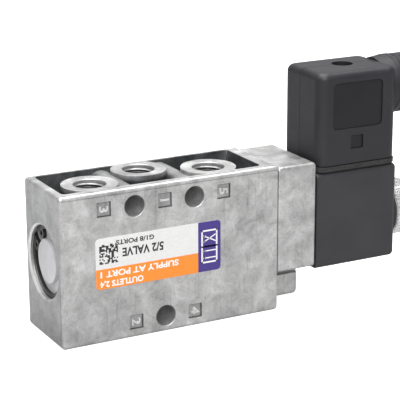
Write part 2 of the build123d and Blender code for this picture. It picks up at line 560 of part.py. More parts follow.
def make_terminal_block():
    block_gap = 0.3            # between the block and the shell's inner faces
    terminal_block = block((PLUG_INNER_X[0] + block_gap, PLUG_INNER_X[1] - block_gap),
                           (PLUG_INNER_Y[0] + block_gap, PLUG_INNER_Y[1] - block_gap),
                           (PLUG_Z[0] + 0.1, BLOCK_TOP))
    terminal_block = fillet(terminal_block.edges().filter_by(Axis.Z), PLUG_ROUND - PLUG_WALL)
    half_x, half_y = EARTH_SOCKET_HALF
    earth_socket = block((CENTRE_SCREW_X - half_x, CENTRE_SCREW_X + half_x),
                         (EARTH_Y - half_y, EARTH_Y + half_y), SOCKET_Z)
    earth_socket -= block((CENTRE_SCREW_X - 3.3, CENTRE_SCREW_X + 3.3),
                          (EARTH_Y - 0.5, EARTH_Y + 0.5), (SOCKET_Z[0] - 1, BLADE_Z[1] + 0.6))
    sockets = [socket(x) for x in BLADES_X]
    room = 0.05                # between a socket and its pocket
    pocket_z = (SOCKET_Z[0] - 5, SOCKET_Z[1])
    for x in BLADES_X:
        terminal_block -= block((x - 1.9 - room, x + 1.9 + room),
                                (SOCKET_Y[0] - room, SOCKET_Y[1] + room), pocket_z)
        terminal_block -= rod_z(2.5, SOCKET_Z[1] - 1, BLOCK_TOP + 1, x, CLAMP_Y)
    terminal_block -= block((CENTRE_SCREW_X - half_x - room, CENTRE_SCREW_X + half_x + room),
                            (EARTH_Y - half_y - room, EARTH_Y + half_y + room), pocket_z)
    terminal_block -= rod_z(SCREW_R + 0.2, 0, BIG, CENTRE_SCREW_X)
    save("terminal_block", terminal_block)
    save("contact_sockets", *sockets, earth_socket)

    clamp_screws = []
    for x in BLADES_X:
        screw = rod_z(1.25, SOCKET_Z[1] - 4.5, SOCKET_Z[1] + 0.5, x, CLAMP_Y)
        screw += rod_z(2.3, SOCKET_Z[1] + 0.5, SOCKET_Z[1] + 2.3, x, CLAMP_Y)
        screw -= block((x - 0.35, x + 0.35), (CLAMP_Y - 3, CLAMP_Y + 3),
                       (SOCKET_Z[1] + 1.5, SOCKET_Z[1] + 3))
        clamp_screws.append(screw)
    save("clamp_screws", *clamp_screws)

    head_z = (BLOCK_TOP + 0.8, BLOCK_TOP + 3.2)
    save("centre_screw_washer", ring_z(2.9, SCREW_R + 0.05, BLOCK_TOP, head_z[0], CENTRE_SCREW_X))
    centre_screw = rod_z(SCREW_R, 34.8, head_z[0], CENTRE_SCREW_X)
    centre_screw += rod_z(2.75, *head_z, CENTRE_SCREW_X)
    centre_screw -= block((CENTRE_SCREW_X - 0.4, CENTRE_SCREW_X + 0.4), (-4, 4),
                          (head_z[1] - 1.0, head_z[1] + 1))
    save("centre_screw", centre_screw)


# ---- cable gland ----
COLLAR_X = (84.0, 86.2)
GLAND_NUT_X = (86.45, 98.0)
GLAND_RIBS = 24


def make_gland():
    collar = rod_x(GLAND_R, *COLLAR_X, 0, GLAND_Z)
    collar = chamfer(collar.edges().filter_by(GeomType.CIRCLE), 0.3)
    collar += rod_x(GLAND_SLEEVE_R, PLUG_INNER_X[1] + 0.2, 95.0, 0, GLAND_Z)
    collar -= rod_x(5.6, 78, 96, 0, GLAND_Z)
    save("gland_body", collar)

    nut = rod_x(GLAND_R - 0.1, *GLAND_NUT_X, 0, GLAND_Z)
    nut = fillet(nut.edges().group_by(Axis.X)[-1], 2.0)
    nut = chamfer(nut.edges().group_by(Axis.X)[0], 0.3)
    rib_gap = rod_x(0.6, GLAND_NUT_X[0] + 1.6, GLAND_NUT_X[1] + 1, 0, GLAND_R + 0.2)
    nut -= [Pos(0, 0, GLAND_Z) * Rot(360 / GLAND_RIBS * index, 0, 0) * rib_gap
            for index in range(GLAND_RIBS)]
    nut -= rod_x(GLAND_SLEEVE_R, GLAND_NUT_X[0] - 1, 95.6, 0, GLAND_Z)
    nut -= rod_x(4.4, 95, GLAND_NUT_X[1] + 1, 0, GLAND_Z)
    save("gland_nut", nut)
    save("gland_grommet", ring_x(5.55, CABLE_R, 86.2, 95.0, 0, GLAND_Z))
    save("gland_washer", ring_x(GLAND_SLEEVE_R - 0.1, 3.6, 95.05, 95.55, 0, GLAND_Z))


# ---- label ----
LABEL_X, LABEL_Z, LABEL_THICK = (-22.4, 18.2), (16.7, 32.1), 0.12


def make_label():
    front = -BODY_WIDTH / 2
    label = block(LABEL_X, (front - LABEL_THICK, front), LABEL_Z)
    save("label", fillet(label.edges().filter_by(Axis.Y), 1.2))


make_body()
make_end_plug()
make_circlip()
make_seal_stack()
make_spool()
make_cover()
make_override()
make_armature()
make_coil()
make_coil_nut()
make_shells()
make_terminal_block()
make_gland()
make_label()
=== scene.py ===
import json
import math
import random

import bpy
from mathutils import Matrix, Vector


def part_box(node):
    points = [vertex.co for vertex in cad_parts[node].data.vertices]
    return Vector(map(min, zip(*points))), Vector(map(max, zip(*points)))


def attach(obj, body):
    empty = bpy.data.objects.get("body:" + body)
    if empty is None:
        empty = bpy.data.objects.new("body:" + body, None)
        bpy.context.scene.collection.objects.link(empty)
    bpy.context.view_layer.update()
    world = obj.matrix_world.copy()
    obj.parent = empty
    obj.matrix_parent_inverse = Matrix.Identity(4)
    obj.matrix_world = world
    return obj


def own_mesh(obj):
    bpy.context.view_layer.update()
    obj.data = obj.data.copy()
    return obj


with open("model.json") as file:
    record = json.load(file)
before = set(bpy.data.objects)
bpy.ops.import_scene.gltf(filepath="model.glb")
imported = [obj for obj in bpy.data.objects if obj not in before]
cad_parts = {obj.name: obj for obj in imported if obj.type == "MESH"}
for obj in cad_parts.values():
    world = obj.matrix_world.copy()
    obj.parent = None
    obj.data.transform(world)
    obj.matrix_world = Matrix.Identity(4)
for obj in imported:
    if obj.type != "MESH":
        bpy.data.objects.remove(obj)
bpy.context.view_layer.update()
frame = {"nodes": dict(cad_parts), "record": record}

MM = 0.001
NODES = frame["nodes"]
BODY = "valve"                 # the body that everything fixed rides on
MOUNTS = {mount["name"]: mount for mount in frame["record"]["mounts"]}

# ---- camera ----
CAMERA_PLACE = (-0.1948, -0.4032, 0.1710)
CAMERA_TURN = (73.35, 0.24, -27.93)   # degrees about X, Y and Z
CAMERA_LENS = 141.7                   # millimetres, on a sensor 36 mm wide


# ---- material helpers ----
def new_material(name, colour, metallic=0.0, roughness=0.5, **sockets):
    """A node material with constant values on the shader's own sockets."""
    material = bpy.data.materials.new(name)
    material.use_nodes = True
    shader = material.node_tree.nodes["Principled BSDF"]
    shader.inputs["Base Color"].default_value = (*colour, 1.0)
    shader.inputs["Metallic"].default_value = metallic
    shader.inputs["Roughness"].default_value = roughness
    for socket, value in sockets.items():
        shader.inputs[socket.replace("_", " ")].default_value = value
    return material, material.node_tree, shader


def noise(tree, scale, detail=4.0, roughness=0.55, stretch=(1.0, 1.0, 1.0), distortion=0.0):
    """A noise field in the object's coordinates; scale is in features per metre."""
    place = tree.nodes.new("ShaderNodeTexCoord")
    mapping = tree.nodes.new("ShaderNodeMapping")
    mapping.inputs["Scale"].default_value = stretch
    field = tree.nodes.new("ShaderNodeTexNoise")
    field.inputs["Scale"].default_value = scale
    field.inputs["Detail"].default_value = detail
    field.inputs["Roughness"].default_value = roughness
    field.inputs["Distortion"].default_value = distortion
    tree.links.new(place.outputs["Object"], mapping.inputs["Vector"])
    tree.links.new(mapping.outputs["Vector"], field.inputs["Vector"])
    return field.outputs["Fac"]


def ramp(tree, source, *stops):
    """A colour ramp over a field; each stop is (position, colour)."""
    node = tree.nodes.new("ShaderNodeValToRGB")
    elements = node.color_ramp.elements
    while len(elements) < len(stops):
        elements.new(0.5)
    for element, (position, colour) in zip(elements, stops):
        element.position = position
        element.color = (*colour, 1.0)
    tree.links.new(source, node.inputs["Fac"])
    return node.outputs["Color"]


def span(tree, source, low, high, source_low=0.3, source_high=0.7):
    """A field mapped to the range low to high."""
    node = tree.nodes.new("ShaderNodeMapRange")
    node.inputs["From Min"].default_value = source_low
    node.inputs["From Max"].default_value = source_high
    node.inputs["To Min"].default_value = low
    node.inputs["To Max"].default_value = high
    tree.links.new(source, node.inputs["Value"])
    return node.outputs["Result"]


def shaded(tree, colour, shade, amount):
    """A colour multiplied by a shade; amount is a number or a field, and 0 leaves the colour as it is."""
    node = tree.nodes.new("ShaderNodeMix")
    node.data_type = "RGBA"
    node.blend_type = "MULTIPLY"
    if isinstance(amount, float):
        node.inputs["Factor"].default_value = amount
    else:
        tree.links.new(amount, node.inputs["Factor"])
    tree.links.new(colour, node.inputs["A"])
    tree.links.new(shade, node.inputs["B"])
    return node.outputs["Result"]


def bump(tree, shader, height, depth, strength=1.0, previous=None):
    """Surface relief; depth is in metres."""
    node = tree.nodes.new("ShaderNodeBump")
    node.inputs["Strength"].default_value = strength
    node.inputs["Distance"].default_value = depth
    tree.links.new(height, node.inputs["Height"])
    if previous is not None:
        tree.links.new(previous, node.inputs["Normal"])
    tree.links.new(node.outputs["Normal"], shader.inputs["Normal"])
    return node.outputs["Normal"]


def grey(value, warm=0.0):
    """A grey as red, green and blue; warm above 0 makes it redder and below 0 bluer."""
    return (value + warm, value, value - warm)


def coordinates(tree):
    """The object's coordinates in metres, as outputs named X, Y and Z."""
    place = tree.nodes.new("ShaderNodeTexCoord")
    split = tree.nodes.new("ShaderNodeSeparateXYZ")
    tree.links.new(place.outputs["Object"], split.inputs["Vector"])
    return split.outputs


def inside_box(tree, low, high, soft=0.1 * MM):
    """A field that is 1 inside a box in the object's coordinates and fades to 0 at its sides."""
    place = coordinates(tree)
    inside = None
    for axis, bottom, top in zip("XYZ", low, high):
        for outer, inner in ((bottom, bottom + soft), (top, top - soft)):
            side = span(tree, place[axis], 0.0, 1.0, outer, inner)
            inside = side if inside is None else combine(tree, inside, side, "MULTIPLY")
    return inside


def combine(tree, first, second, operation):
    """Two fields joined by a Math node."""
    node = tree.nodes.new("ShaderNodeMath")
    node.operation = operation
    tree.links.new(first, node.inputs[0])
    tree.links.new(second, node.inputs[1])
    return node.outputs["Value"]


def subtract(tree, first, second):
    """The first field less the second, and never below 0."""
    difference = combine(tree, first, second, "SUBTRACT")
    return span(tree, difference, 0.0, 1.0, 0.0, 1.0)


# ---- places on the body, from the frame ----
BODY_LOW, BODY_HIGH = (Vector(corner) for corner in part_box("valve_body"))
FRONT_Y = BODY_LOW.y
TOP_MARK_Z, BOTTOM_MARK_Z = 40.6 * MM, 4.85 * MM
MARK_DEPTH = 0.5 * MM
MARK_HALF = 2.2 * MM
TOP_ROUND = 1.1 * MM           # the body's and the cover's rounded top edges
BESIDE = 0.1 * MM              # how far a shaded region stands out past a flat face

# The pocket's shaded region goes a little way into the walls and the floor, so that they are
# wholly inside it, and stops just below the rim.
LEFT_WALL, RIGHT_WALL = 2.4 * MM, 4.2 * MM
FRONT_WALL, BACK_WALL = 3.0 * MM, 1.7 * MM
POCKET_DEPTH = 11.3 * MM
INTO_WALL = 0.3 * MM
BELOW_RIM = 0.12 * MM
POCKET_LOW = BODY_LOW + Vector((LEFT_WALL - INTO_WALL, FRONT_WALL - INTO_WALL, 0))
POCKET_LOW.z = BODY_HIGH.z - POCKET_DEPTH - INTO_WALL
POCKET_HIGH = BODY_HIGH - Vector((RIGHT_WALL - INTO_WALL, BACK_WALL - INTO_WALL, BELOW_RIM))
WALL_SHADE_REACH = 0.6 * MM    # how much of the region's sides counts as wall
SHADED_HEIGHT = 6.0 * MM       # from the rim down to where the pocket is darkest


# ---- materials ----
def cast_metal():
    """Tumbled die-cast aluminium: cloudy, finely pitted, a little smeared, rougher in the top pocket and
    darker in the port marks, with painted shade in the pocket, on the left end face and beside the rounded
    front top edge, and a painted highlight on that edge."""
    material, tree, shader = new_material("cast_metal", grey(0.5), metallic=0.72)
    cloud = noise(tree, 190, detail=8, roughness=0.68, distortion=0.5)
    patch = noise(tree, 55, detail=4, distortion=1.2)
    smear = noise(tree, 160, detail=5, stretch=(1.0, 1.0, 0.35))
    scratch = noise(tree, 1500, detail=2, stretch=(1.0, 1.0, 0.05))
    grain = noise(tree, 2100, detail=4, roughness=0.7)
    colour = ramp(tree, cloud, (0.30, grey(0.38, 0.003)), (0.50, grey(0.56, 0.004)),
                  (0.68, grey(0.72, 0.002)))
    layers = (
        (patch, (0.36, grey(0.80, -0.008)), (0.58, grey(1.0)), 0.8),
        (smear, (0.30, grey(0.80)), (0.55, grey(1.0)), 0.6),
        (scratch, (0.30, grey(0.70)), (0.40, grey(1.0)), 0.5),
        (grain, (0.30, grey(0.50)), (0.46, grey(1.0)), 0.7),
    )
    for field, dark, light, amount in layers:
        colour = shaded(tree, colour, ramp(tree, field, dark, light), amount)

    pocket = inside_box(tree, POCKET_LOW, POCKET_HIGH)
    polish_and_highlight = polished_edges(tree)
    # Painted shade: the top pocket's walls and what stands in it darkened, standing in for the shade
    # inside it.
    colour = pocket_shade(tree, colour, cloud, pocket)
    # Painted shade: the left end face darkened, most at the bottom.
    colour = end_face_grime(tree, colour)
    for middle_x, middle_z in mark_places():
        colour = shaded(tree, colour, *mark_shade(tree, middle_x, middle_z))
    # Painted shade: thin dark lines where the rounded front top edge meets the flat faces.
    crease_shade = ramp(tree, cloud, (0.3, grey(0.52)), (0.7, grey(0.66)))
    for low, high in edge_lines():
        colour = shaded(tree, colour, crease_shade, inside_box(tree, low, high, 0.06 * MM))
    # Painted highlight: the colour of the polished front top edges brightened; their roughness is lowered
    # below as well.
    painted_highlight = ramp(tree, cloud, (0.3, grey(1.2)), (0.7, grey(1.05)))
    colour = shaded(tree, colour, painted_highlight, polish_and_highlight)
    tree.links.new(colour, shader.inputs["Base Color"])

    clouded = span(tree, cloud, 0.34, 0.52)
    worn = span(tree, polish_and_highlight, 1.0, 0.85, 0.0, 1.0)
    as_cast = span(tree, pocket, 1.0, 1.3, 0.0, 1.0)
    roughness = combine(tree, combine(tree, clouded, worn, "MULTIPLY"), as_cast, "MULTIPLY")
    tree.links.new(roughness, shader.inputs["Roughness"])
    relief = bump(tree, shader, grain, 0.00003, 0.7)
    bump(tree, shader, cloud, 0.00014, 0.5, relief)
    return material


def pocket_shade(tree, colour, cloud, pocket):
    """Painted shade in the pocket: the colour darkened evenly on its walls, and with depth on what stands
    in it.
    """
    inset = Vector((WALL_SHADE_REACH, WALL_SHADE_REACH, 0))
    clear_of_walls = inside_box(tree, POCKET_LOW + inset, POCKET_HIGH - inset)
    walls = subtract(tree, pocket, clear_of_walls)
    for low, high in fixing_hole_boxes():
        hole = inside_box(tree, low, high, 0.02 * MM)
        clear_of_walls = subtract(tree, clear_of_walls, hole)
        walls = subtract(tree, walls, hole)
    below_rim = span(tree, coordinates(tree)["Z"], 0.0, 1.0, BODY_HIGH.z - SHADED_HEIGHT, BODY_HIGH.z)
    depth_shade = ramp(tree, below_rim, (0.0, grey(0.035, -0.006)), (0.70, grey(0.12, -0.008)),
                       (0.86, grey(0.62)), (1.0, grey(0.90)))
    wall_shade = ramp(tree, cloud, (0.3, grey(0.20, -0.01)), (0.7, grey(0.30, -0.01)))
    colour = shaded(tree, colour, depth_shade, clear_of_walls)
    return shaded(tree, colour, wall_shade, walls)


def end_face_grime(tree, colour):
    """Painted shade on the left end face: the colour darkened there, most at the bottom."""
    outside = Vector((1, 1, 1)) * 2 * BESIDE
    end_face = inside_box(tree, BODY_LOW - outside,
                          (BODY_LOW.x + 0.15 * MM, BODY_HIGH.y, BODY_HIGH.z - 1.0 * MM))
    height = span(tree, coordinates(tree)["Z"], 0.0, 1.0, 0.0, BODY_HIGH.z)
    painted_shade = ramp(tree, height, (0.0, grey(0.62)), (1.0, grey(0.96, -0.01)))
    return shaded(tree, colour, painted_shade, end_face)


def fixing_hole_boxes():
    """A box round the bore of each of the two upper fixing holes, which stay bright inside."""
    mount = MOUNTS["top_fixing_holes"]
    reach = (mount["dims"]["hole_r_mm"] + 0.05) * MM
    middle_z = mount["pos_m"][2]
    for side in (-1, 1):
        middle_x = mount["pos_m"][0] + side * mount["dims"]["spacing_x_mm"] / 2 * MM
        yield ((middle_x - reach, BODY_LOW.y, middle_z - reach),
               (middle_x + reach, BODY_HIGH.y, middle_z + reach))


def mark_places():
    """The middle of each port mark on the front face, as x and z."""
    for number in range(1, 6):
        mount = MOUNTS[f"port_{number}"]
        yield mount["pos_m"][0], TOP_MARK_Z if mount["axis"][2] > 0 else BOTTOM_MARK_Z


def mark_shade(tree, middle_x, middle_z):
    """The darkening in one port mark, deepest in its corners, and the region that it covers."""
    regions = []
    for reach in (MARK_HALF + 0.03 * MM, MARK_HALF - 0.28 * MM):
        low = (middle_x - reach, FRONT_Y + 0.03 * MM, middle_z - reach)
        high = (middle_x + reach, FRONT_Y + MARK_DEPTH + 2 * BESIDE, middle_z + reach)
        regions.append(inside_box(tree, low, high, 0.04 * MM))
    outer, inner = regions
    return ramp(tree, inner, (0.0, grey(0.30)), (1.0, grey(0.74))), outer


def edge_lines():
    """Thin stretches on both sides of the rounded top edge at the front, where painted shade sets off the
    edge.
    """
    width = 0.34 * MM
    top = BODY_HIGH.z
    left, right = BODY_LOW.x + 0.9 * MM, BODY_HIGH.x - 0.2 * MM
    yield ((left, FRONT_Y - BESIDE, top - TOP_ROUND - width),
           (right, FRONT_Y + 0.12 * MM, top - TOP_ROUND))
    yield ((left, FRONT_Y + TOP_ROUND, top - 0.12 * MM),
           (right, FRONT_Y + TOP_ROUND + width, top + BESIDE))


def polished_edges(tree):
    """A field for the rounded top edges at the front, which tumbling has polished and which carry a
    painted highlight.
    """
    cover_high_x, _, cover_high_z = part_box("pilot_cover")[1]
    depth = 0.85 * TOP_ROUND
    stretches = ((BODY_LOW.x, BODY_HIGH.x, BODY_HIGH.z),
                 (BODY_HIGH.x, cover_high_x + 5 * BESIDE, cover_high_z))
    body_edge, cover_edge = (
        inside_box(tree, (left, FRONT_Y - BESIDE, top - depth),
                   (right, FRONT_Y + depth, top + BESIDE), 0.08 * MM)
        for left, right, top in stretches)
    return combine(tree, body_edge, cover_edge, "ADD")


def turned_metal(name, colour, roughness=0.3, metallic=0.95, rings=(1.0, 0.02, 0.02)):
    """Turned or drawn metal with fine marks that run round the X axis."""
    material, tree, shader = new_material(name, colour, metallic=metallic)
    marks = noise(tree, 9000, detail=2, stretch=rings)
    cloud = noise(tree, 400, detail=4)
    low = tuple(channel * 0.78 for channel in colour)
    high = tuple(min(channel * 1.08, 1.0) for channel in colour)
    tree.links.new(ramp(tree, cloud, (0.3, low), (0.65, high)), shader.inputs["Base Color"])
    tree.links.new(span(tree, marks, roughness * 0.75, roughness * 1.3), shader.inputs["Roughness"])
    bump(tree, shader, marks, 0.00002, 0.5)
    return material


def moulded_plastic(name, colour, roughness, texture=3200, depth=0.00002, **sockets):
    """Moulded plastic with a fine spark-eroded texture and slight flow marks."""
    material, tree, shader = new_material(name, colour, **sockets)
    texture_field = noise(tree, texture, detail=3, roughness=0.6)
    flow = noise(tree, 70, detail=4, distortion=0.8)
    low = tuple(channel * 0.80 for channel in colour)
    high = tuple(min(channel * 1.22, 1.0) for channel in colour)
    tree.links.new(ramp(tree, flow, (0.3, low), (0.7, high)), shader.inputs["Base Color"])
    tree.links.new(span(tree, flow, roughness * 0.88, roughness * 1.15), shader.inputs["Roughness"])
    bump(tree, shader, texture_field, depth, 0.7)
    return material


def rubber():
    material, tree, shader = new_material("seal_rubber", grey(0.02))
    dust = noise(tree, 900, detail=5)
    tree.links.new(ramp(tree, dust, (0.35, grey(0.012)), (0.75, grey(0.035))), shader.inputs["Base Color"])
    tree.links.new(span(tree, dust, 0.5, 0.72), shader.inputs["Roughness"])
    bump(tree, shader, dust, 0.00003, 0.5)
    return material


def copper_wire():
    """Layers of enamelled wire wound round the X axis."""
    material, tree, shader = new_material("copper", (0.62, 0.25, 0.12), metallic=0.9, Coat_Weight=0.5)
    place = tree.nodes.new("ShaderNodeTexCoord")
    wave = tree.nodes.new("ShaderNodeTexWave")
    wave.bands_direction = "X"
    wave.inputs["Scale"].default_value = 700
    wave.inputs["Distortion"].default_value = 0.4
    tree.links.new(place.outputs["Object"], wave.inputs["Vector"])
    tree.links.new(ramp(tree, wave.outputs["Fac"], (0.1, (0.30, 0.10, 0.04)), (0.7, (0.72, 0.33, 0.16))),
                   shader.inputs["Base Color"])
    tree.links.new(span(tree, wave.outputs["Fac"], 0.28, 0.4, 0.0, 1.0), shader.inputs["Roughness"])
    bump(tree, shader, wave.outputs["Fac"], 0.00012, 0.8)
    return material


def printed(name, colour, roughness=0.32):
    """Printed foil with a faint unevenness of ink."""
    material, tree, shader = new_material(name, colour, roughness=roughness)
    ink = noise(tree, 1500, detail=4)
    low = tuple(channel * 0.92 for channel in colour)
    tree.links.new(ramp(tree, ink, (0.3, low), (0.6, colour)), shader.inputs["Base Color"])
    tree.links.new(span(tree, ink, roughness * 0.9, roughness * 1.2), shader.inputs["Roughness"])
    bump(tree, shader, ink, 0.000006, 0.5)
    return material


MATERIALS = {
    "cast_metal": cast_metal(),
    "cage_metal": turned_metal("cage_metal", grey(0.66)),
    "spool_metal": turned_metal("spool_metal", grey(0.7), roughness=0.22),
    "spring_steel": turned_metal("spring_steel", grey(0.5), roughness=0.3),
    "white_plastic": moulded_plastic("white_plastic", (0.56, 0.56, 0.575), 0.36, texture=1600),
    "seal_rubber": rubber(),
    "black_steel": turned_metal("black_steel", grey(0.035), roughness=0.34, metallic=0.6),
    "zinc_steel": turned_metal("zinc_steel", grey(0.6, 0.01), roughness=0.32),
    "brass": turned_metal("brass", (0.70, 0.50, 0.22), roughness=0.28),
    "stainless": turned_metal("stainless", grey(0.58), roughness=0.26),
    "bobbin_plastic": moulded_plastic("bobbin_plastic", (0.55, 0.52, 0.44), 0.5),
    "copper": copper_wire(),
    "coil_plastic": moulded_plastic("coil_plastic", (0.027, 0.027, 0.031), 0.50, texture=2600),
    "tin_plate": turned_metal("tin_plate", grey(0.66, 0.01), roughness=0.3),
    "nickel_plate": turned_metal("nickel_plate", grey(0.86), roughness=0.24, metallic=0.75),
    "plug_plastic": moulded_plastic("plug_plastic", (0.0135, 0.0135, 0.017), 0.50, texture=3600),
    "label_foil": printed("label_foil", (0.72, 0.72, 0.71)),
}
THREAD_METAL = turned_metal("cut_thread", grey(0.50), roughness=0.30, rings=(0.05, 0.05, 1.0))
PANEL_PLASTIC = moulded_plastic("panel_plastic", (0.010, 0.010, 0.012), 0.40, texture=900,
                                depth=0.000004, Specular_IOR_Level=0.34)
for part in frame["record"]["subparts"]:
    cad_slots = NODES[part["node"]].data.materials
    cad_slots.clear()
    cad_slots.append(MATERIALS[part["material_slot"]])


# ---- mesh helpers ----
def add_piece(name, points, faces, material):
    """A mesh piece in the row's frame that rides on the fixed body."""
    mesh = bpy.data.meshes.new(name)
    mesh.from_pydata([tuple(point) for point in points], [], faces)
    mesh.materials.append(material)
    mesh.update()
    piece = bpy.data.objects.new(name, mesh)
    bpy.context.scene.collection.objects.link(piece)
    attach(piece, BODY)


RIDGE_FOOT, RIDGE_CREST = 0.38, 0.07   # half of a ridge's width at its foot and crest, in pitches
TURN_STEPS = 48


def ridge_helix(origin, axis, side, root_r, crest_r, pitch, length):
    """Points and faces of a closed thread ridge that winds round an axis from its origin.

    The ridge stands from root_r to crest_r, which may be the smaller, and tapers out at both ends."""
    axis, side = Vector(axis), Vector(side)
    across = axis.cross(side)
    profile = ((root_r, -RIDGE_FOOT), (crest_r, -RIDGE_CREST), (crest_r, RIDGE_CREST),
               (root_r, RIDGE_FOOT))
    run_out_steps = TURN_STEPS / 3
    count = round(length / pitch * TURN_STEPS)
    points = []
    for index in range(count + 1):
        angle = 2 * math.pi * index / TURN_STEPS
        run_out = min(1.0, index / run_out_steps, (count - index) / run_out_steps)
        outward = side * math.cos(angle) + across * math.sin(angle)
        for radius, shift in profile:
            height = root_r + (radius - root_r) * max(run_out, 0.05)
            along = (index / TURN_STEPS + shift * max(run_out, 0.3)) * pitch
            points.append(Vector(origin) + outward * height + axis * along)
    size = len(profile)
    faces = [(0, 1, 2, 3), tuple(count * size + corner for corner in (3, 2, 1, 0))]
    for index in range(count):
        for corner in range(size):
            after = (corner + 1) % size
            here, there = index * size, (index + 1) * size
            faces.append((here + corner, there + corner, there + after, here + after))
    return points, faces


# ---- port threads ----
THREAD_PITCH = 0.907 * MM
THREAD_DEPTH = 0.58 * MM
MOUTH = 0.25 * MM              # the thread starts this far inside the face
SINK = 0.02 * MM               # how far a raised piece reaches into what it stands on


def port_thread(name):
    """The ridges of one tapped port, from its mouth inwards."""
    mount = MOUNTS[name]
    axis = -Vector(mount["axis"])
    wall_r = mount["dims"]["r_mm"] * MM
    face_z = BODY_HIGH.z if axis.z < 0 else BODY_LOW.z
    origin = Vector(mount["pos_m"])
    origin.z = face_z + axis.z * (MOUTH + THREAD_PITCH / 2)
    length = mount["dims"]["length_mm"] * MM - THREAD_PITCH
    points, faces = ridge_helix(origin, axis, (1, 0, 0), wall_r + SINK, wall_r - THREAD_DEPTH,
                                THREAD_PITCH, length)
    add_piece(name + "_thread", points, faces, THREAD_METAL)


for port in range(1, 6):
    port_thread(f"port_{port}")


def stud_thread():
    """The thread on the free end of the fixed core, which stands out of the coil nut."""
    pitch, depth = 0.35 * MM, 0.14 * MM
    inside_nut, end_chamfer = 0.5 * MM, 0.62 * MM
    core_low, core_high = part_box("fixed_core")
    nut_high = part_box("coil_nut")[1]
    radius = (core_high[1] - core_low[1]) / 2
    middle = ((core_low[1] + core_high[1]) / 2, (core_low[2] + core_high[2]) / 2)
    start = nut_high[0] - inside_nut
    length = core_high[0] - end_chamfer - start
    points, faces = ridge_helix((start, *middle), (1, 0, 0), (0, 1, 0), radius - SINK,
                                radius + depth, pitch, length)
    add_piece("stud_thread", points, faces, MATERIALS["stainless"])


# ---- letters and label ----
UPSIDE_DOWN = Matrix(((-1, 0, 0), (0, 0, -1), (0, -1, 0))).transposed().to_4x4()
CAPITAL_HEIGHT = 0.7           # of a capital letter, in font sizes


def lettering(name, text, centre, height, depth, material, stretch, turn, bold):
    """Upside-down letters that stand out of a face that looks along -Y; centre is their middle."""
    curve = bpy.data.curves.new(name + "_curve", "FONT")
    curve.body = text
    curve.size = height / CAPITAL_HEIGHT
    curve.align_x = "CENTER"
    curve.align_y = "CENTER"
    curve.extrude = depth / 2
    curve.offset = bold
    curve.resolution_u = 3
    flat = bpy.data.objects.new(name + "_curve", curve)
    bpy.context.scene.collection.objects.link(flat)
    bpy.context.view_layer.update()
    mesh = bpy.data.meshes.new_from_object(flat)
    bpy.data.objects.remove(flat)
    points = [vertex.co for vertex in mesh.vertices]
    middle = [(min(values) + max(values)) / 2 for values in zip(*points)]
    mesh.transform(Matrix.Translation(-Vector(middle)))
    mesh.transform(Matrix.Rotation(turn, 4, "Z") @ Matrix.Diagonal((stretch, 1.0, 1.0, 1.0)))
    mesh.transform(Matrix.Translation(Vector(centre)) @ UPSIDE_DOWN)
    mesh.materials.clear()
    mesh.materials.append(material)
    piece = bpy.data.objects.new(name, mesh)
    bpy.context.scene.collection.objects.link(piece)
    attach(piece, BODY)


# Raised numbers in the port marks, which are the standard numbers of a valve's ports.
DIGIT_METAL = turned_metal("mark_digit", grey(0.84), roughness=0.42, rings=(1.0, 1.0, 1.0))
DIGIT_HEIGHT, DIGIT_DEPTH = 2.7 * MM, 0.36 * MM

for number, (mark_x, mark_z) in enumerate(mark_places(), start=1):
    mark_y = FRONT_Y + MARK_DEPTH - DIGIT_DEPTH / 2 + SINK
    lettering(f"port_{number}_mark", str(number), (mark_x, mark_y, mark_z), DIGIT_HEIGHT, DIGIT_DEPTH,
              DIGIT_METAL, stretch=1.25, turn=math.pi / 2, bold=0.05 * MM)


ORANGE = printed("ink_orange", (0.92, 0.26, 0.025))
VIOLET = printed("ink_violet", (0.052, 0.030, 0.22))
BLACK_INK = printed("ink_black", (0.018, 0.018, 0.02))
WHITE_INK = printed("ink_white", (0.86, 0.86, 0.85))
INK = 0.012 * MM               # thickness of a printed layer

LABEL_LOW, LABEL_HIGH = (Vector(corner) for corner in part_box("label"))
VIOLET_WIDTH = 7.5 * MM
BAND_HEIGHT = 6.1 * MM
LABEL_CORNER = 1.2 * MM


def rounded_outline(low, high, radii, steps=8):
    """A rectangle from low to high with a radius for each corner, anticlockwise from low."""
    corners = ((low[0], low[1], 1, 1), (high[0], low[1], -1, 1),
               (high[0], high[1], -1, -1), (low[0], high[1], 1, -1))
    outline = []
    for number, ((u, v, su, sv), radius) in enumerate(zip(corners, radii)):
        if radius == 0:
            outline.append((u, v))
            continue
        for step in range(steps + 1):
            angle = math.pi + math.pi / 2 * (number + step / steps)
            outline.append((u + su * radius + radius * math.cos(angle),
                            v + sv * radius + radius * math.sin(angle)))
    return outline


def plate(name, outlines, y_back, thickness, material):
    """Thin plates that look along -Y; each outline is a list of (x, z) points, anticlockwise."""
    points, faces = [], []
    for outline in outlines:
        first, size = len(points), len(outline)
        points += [(x, y_back, z) for x, z in outline]
        points += [(x, y_back - thickness, z) for x, z in outline]
        faces.append(tuple(first + index for index in reversed(range(size))))
        faces.append(tuple(first + size + index for index in range(size)))
        for index in range(size):
            after = (index + 1) % size
            faces.append((first + index, first + after, first + size + after, first + size + index))
    add_piece(name, points, faces, material)


def label_print():
    """Colour fields, generic words, a made-up data grid and the standard valve symbol."""
    low_x, low_z = LABEL_LOW.x, LABEL_LOW.z
    high_x, high_z = LABEL_HIGH.x, LABEL_HIGH.z
    face_y = LABEL_LOW.y
    split_x = high_x - VIOLET_WIDTH
    band_z = low_z + BAND_HEIGHT
    plate("label_orange_band",
          [rounded_outline((low_x, low_z), (split_x, band_z), (LABEL_CORNER, 0, 0, 0))],
          face_y, INK, ORANGE)
    plate("label_violet_field",
          [rounded_outline((split_x, low_z), (high_x, high_z), (0, LABEL_CORNER, LABEL_CORNER, 0))],
          face_y, INK, VIOLET)

    ink_y = face_y - INK
    label_words(ink_y, low_x, high_z, band_z)
    data_grid(face_y, low_x + 1.2 * MM, band_z + 1.5 * MM)
    valve_symbol((split_x + high_x) / 2, (low_z + high_z) / 2, ink_y)


